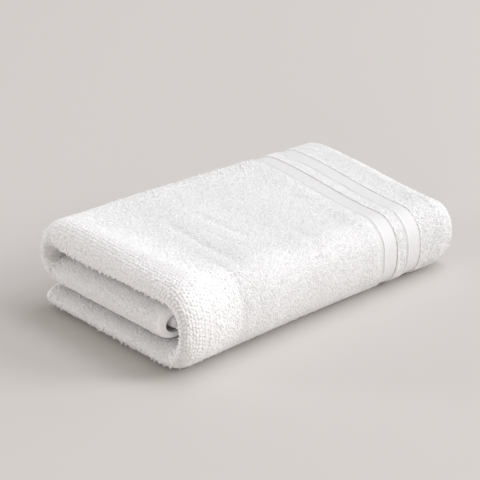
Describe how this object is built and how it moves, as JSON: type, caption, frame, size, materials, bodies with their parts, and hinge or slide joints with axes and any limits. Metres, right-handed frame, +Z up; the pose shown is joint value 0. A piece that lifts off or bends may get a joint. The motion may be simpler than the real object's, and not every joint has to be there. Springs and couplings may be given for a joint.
{
  "type": "folded hand towel",
  "caption": "White terry hand towel, folded in half twice across and in three along, lying flat, with woven bands near the hem.",
  "frame": {"origin": "on the resting surface, under the middle of the folded towel", "axes": "+X from the round lips of the second crosswise fold to the outer hem, +Y from the front turn to the back turn, +Z up"},
  "size_m": [0.2702, 0.1792, 0.0671],
  "materials": {
    "terry_cotton": "near-white cotton terry with short loops on both faces, smooth woven bands without pile near the hem"
  },
  "bodies": {
    "root": {"towel": "terry_cotton"}
  },
  "joints": []
}
